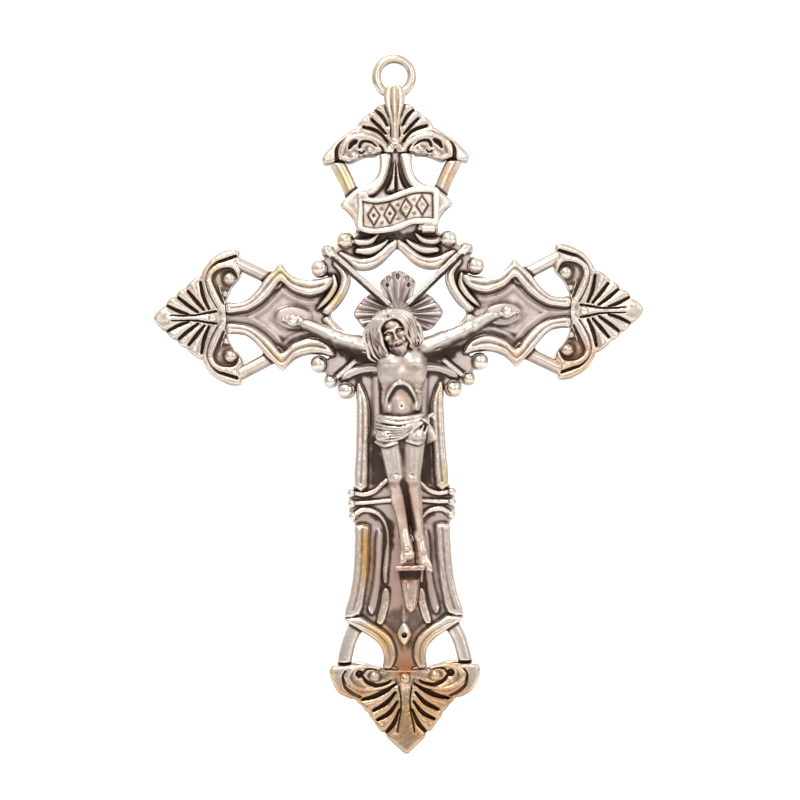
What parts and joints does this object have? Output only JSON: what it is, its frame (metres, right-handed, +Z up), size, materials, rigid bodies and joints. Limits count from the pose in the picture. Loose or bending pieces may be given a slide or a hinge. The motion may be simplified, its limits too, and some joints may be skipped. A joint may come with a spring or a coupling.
{
  "type": "crucifix pendant",
  "caption": "Pierced ornamental crucifix pendant with palmette ends, scrolled borders, ball-headed rivets, an applied figure, a scroll plaque and a swinging suspension ring.",
  "frame": {"origin": "centre line of the flat back face, on the solid upper part of the shaft, about mid-height of the whole cross", "axes": "+Z up along the upright towards the suspension ring, front faces -Y, +X to the right of someone facing the front; the flat back lies in the plane y = 0"},
  "size_m": [0.0532, 0.0059, 0.076],
  "materials": {
    "antiqued_silver": "silver plate over brass, antiqued: rubbed bright on the high edges, dark in the grooves",
    "dark_field": "silver plate over brass, left dark with oxide in the recessed grounds",
    "figure_silver": "silver plate over brass, smoothly rubbed, dark in the folds"
  },
  "bodies": {
    "cross": {"finial_right": "antiqued_silver", "finial_left": "antiqued_silver", "finial_top": "antiqued_silver", "finial_bottom": "antiqued_silver", "finial_rivet_right": "antiqued_silver", "finial_rivet_left": "antiqued_silver", "finial_rivet_top": "antiqued_silver", "finial_rivet_bottom": "antiqued_silver", "arm_border_upper_right": "antiqued_silver", "arm_border_upper_left": "antiqued_silver", "arm_border_lower_right": "antiqued_silver", "arm_border_lower_left": "antiqued_silver", "top_border_right": "antiqued_silver", "top_border_left": "antiqued_silver", "side_scroll_upper_right": "antiqued_silver", "side_scroll_upper_left": "antiqued_silver", "side_scroll_lower_right": "antiqued_silver", "side_scroll_lower_left": "antiqued_silver", "top_scroll_right": "antiqued_silver", "top_scroll_left": "antiqued_silver", "shaft_head_scroll_right": "antiqued_silver", "shaft_head_scroll_left": "antiqued_silver", "shaft_border_upper_right": "antiqued_silver", "shaft_border_upper_left": "antiqued_silver", "shaft_border_lower_right": "antiqued_silver", "shaft_border_lower_left": "antiqued_silver", "base_scroll_right": "antiqued_silver", "base_scroll_left": "antiqued_silver", "shaft_scroll_right": "antiqued_silver", "shaft_scroll_left": "antiqued_silver", "base_leaf_right": "antiqued_silver", "base_leaf_left": "antiqued_silver", "collar_upper": "antiqued_silver", "collar_middle": "antiqued_silver", "bead_rivet_arm_upper_right": "antiqued_silver", "bead_rivet_arm_upper_left": "antiqued_silver", "bead_rivet_top_right": "antiqued_silver", "bead_rivet_top_left": "antiqued_silver", "bead_rivet_arm_lower_right": "antiqued_silver", "bead_rivet_arm_lower_left": "antiqued_silver", "bead_rivet_shaft_right": "antiqued_silver", "bead_rivet_shaft_left": "antiqued_silver", "ray_upper_right": "antiqued_silver", "ray_upper_left": "antiqued_silver", "ray_lower_right": "antiqued_silver", "ray_lower_left": "antiqued_silver", "nimbus": "antiqued_silver", "scroll_plaque": "antiqued_silver", "foot_rest": "antiqued_silver", "base_boss": "antiqued_silver", "figure": "figure_silver", "hand_nail_left": "antiqued_silver", "hand_nail_right": "antiqued_silver", "back_plate": "dark_field"},
    "ring": {"suspension_ring": "antiqued_silver"}
  },
  "joints": [
    {"name": "ring_swing", "type": "hinge", "parent": "cross", "child": "ring", "pos_m": [0, -0.0012, 0.03375], "axis": [1, 0, 0], "range_deg": [-115, 115]}
  ]
}
